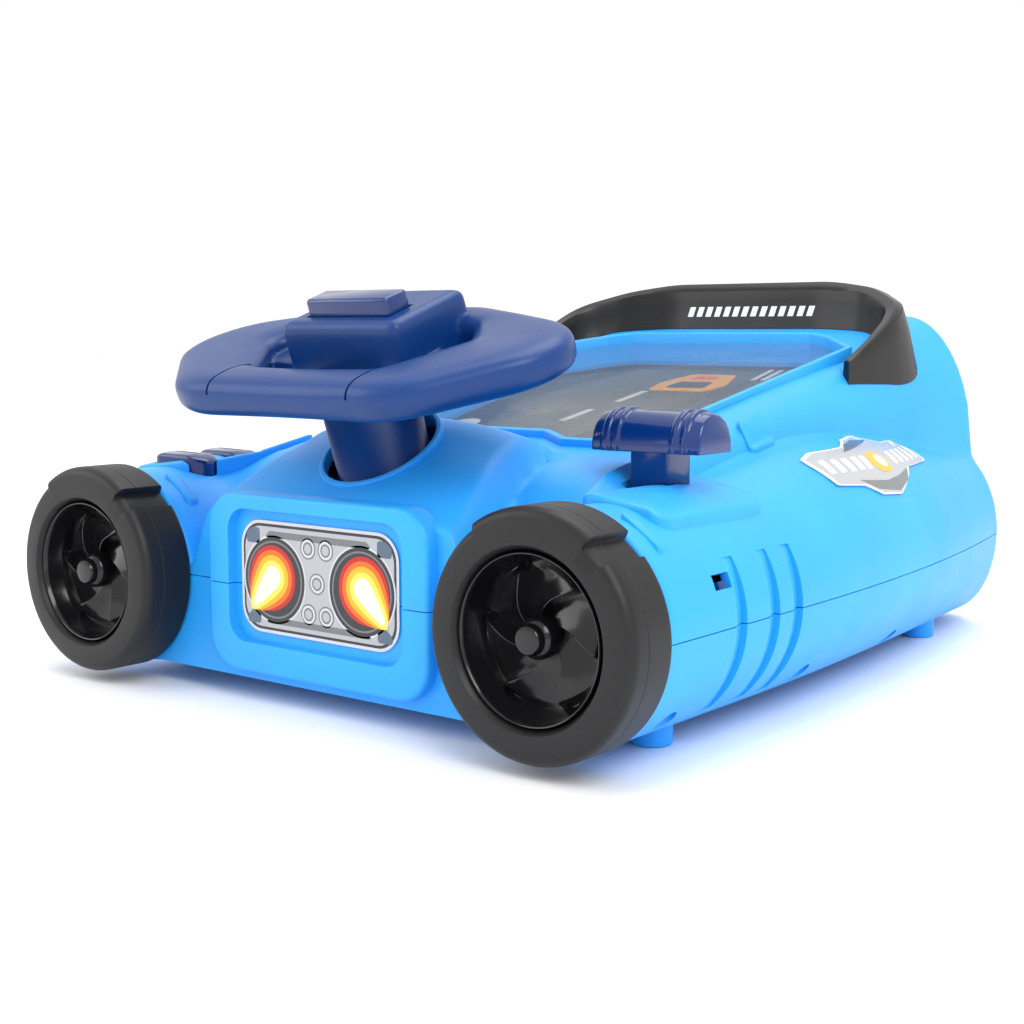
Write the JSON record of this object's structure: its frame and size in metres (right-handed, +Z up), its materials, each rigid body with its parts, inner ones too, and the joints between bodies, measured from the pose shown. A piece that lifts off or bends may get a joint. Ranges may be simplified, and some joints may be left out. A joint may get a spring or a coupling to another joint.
{
  "type": "handheld lcd game",
  "caption": "Table-top racing game shaped like a car from behind, with a steering wheel, gear lever, push buttons, hooded LCD screen and a sports-car tail.",
  "frame": {"origin": "middle of the bounding box at the level of the feet's undersides", "axes": "+Z up, +Y from the player towards the back of the game, +X to the player's right"},
  "size_m": [0.208, 0.25, 0.1126],
  "materials": {
    "body": "satin moulded sky-blue ABS",
    "navy": "semi-gloss navy-blue ABS",
    "charcoal": "satin black ABS",
    "tyre": "satin black moulded plastic",
    "hubcap": "high-gloss black plastic",
    "window": "clear polystyrene",
    "screen": "LCD glass",
    "card": "printed card, satin",
    "label": "printed silver sticker",
    "inner_plastic": "plain white ABS",
    "board": "green circuit board",
    "rubber": "silicone rubber",
    "steel": "zinc-plated steel",
    "cell": "battery sleeve",
    "speaker": "black speaker frame"
  },
  "bodies": {
    "body": {"lower_shell": "body", "upper_shell": "body", "battery_door": "body", "window": "window", "lcd_glass": "screen", "scenery_card": "card", "lcd_tray": "inner_plastic", "main_board": "board", "visor": "charcoal", "panel_label": "label", "side_label_right": "label", "side_label_left": "label", "tyre_right": "tyre", "hubcap_right": "hubcap", "tyre_left": "tyre", "hubcap_left": "hubcap", "bearing_plate": "inner_plastic", "gear_lever_bracket": "inner_plastic", "plate_screw_right": "steel", "plate_screw_left": "steel", "gear_lever_pin": "steel", "battery_door_screw": "steel", "contact_front": "steel", "contact_rear": "steel", "case_screw_1": "steel", "case_screw_2": "steel", "case_screw_3": "steel", "case_screw_4": "steel", "case_screw_5": "steel", "case_screw_6": "steel", "button_membrane": "rubber", "button_board": "board", "power_switch_body": "charcoal", "speaker": "speaker", "cell_1": "cell", "cell_2": "cell", "cell_3": "cell"},
    "steering": {"steering_wheel": "navy", "steering_column": "navy", "column_retainer": "steel", "column_screw": "steel"},
    "horn": {"horn_button": "navy"},
    "gear_lever": {"gear_lever": "navy"},
    "front_button": {"front_button": "navy"},
    "rear_button": {"rear_button": "navy"},
    "power_switch": {"power_switch_knob": "navy"}
  },
  "joints": [
    {"name": "steering_turn", "type": "hinge", "parent": "body", "child": "steering", "pos_m": [0, -0.0931, 0.0833], "axis": [0, -0.3289, 0.9444], "range_deg": [-45, 45], "stiffness_Nm_per_rad": 0.03},
    {"name": "horn_press", "type": "slide", "parent": "steering", "child": "horn", "axis": [0, 0.3289, -0.9444], "range_m": [0, 0.0015], "stiffness_N_per_m": 400},
    {"name": "gear_shift", "type": "hinge", "parent": "body", "child": "gear_lever", "pos_m": [0.0719, -0.0661, 0.0366], "axis": [-1, 0, 0], "range_deg": [0, 8], "stiffness_Nm_per_rad": 0.15},
    {"name": "front_button_press", "type": "slide", "parent": "body", "child": "front_button", "axis": [0, 0, -1], "range_m": [0, 0.0012], "stiffness_N_per_m": 400},
    {"name": "rear_button_press", "type": "slide", "parent": "body", "child": "rear_button", "axis": [0, 0, -1], "range_m": [0, 0.0012], "stiffness_N_per_m": 400},
    {"name": "power_slide", "type": "slide", "parent": "body", "child": "power_switch", "axis": [-0.3907, 0, 0.9205], "range_m": [0, 0.0032]}
  ]
}
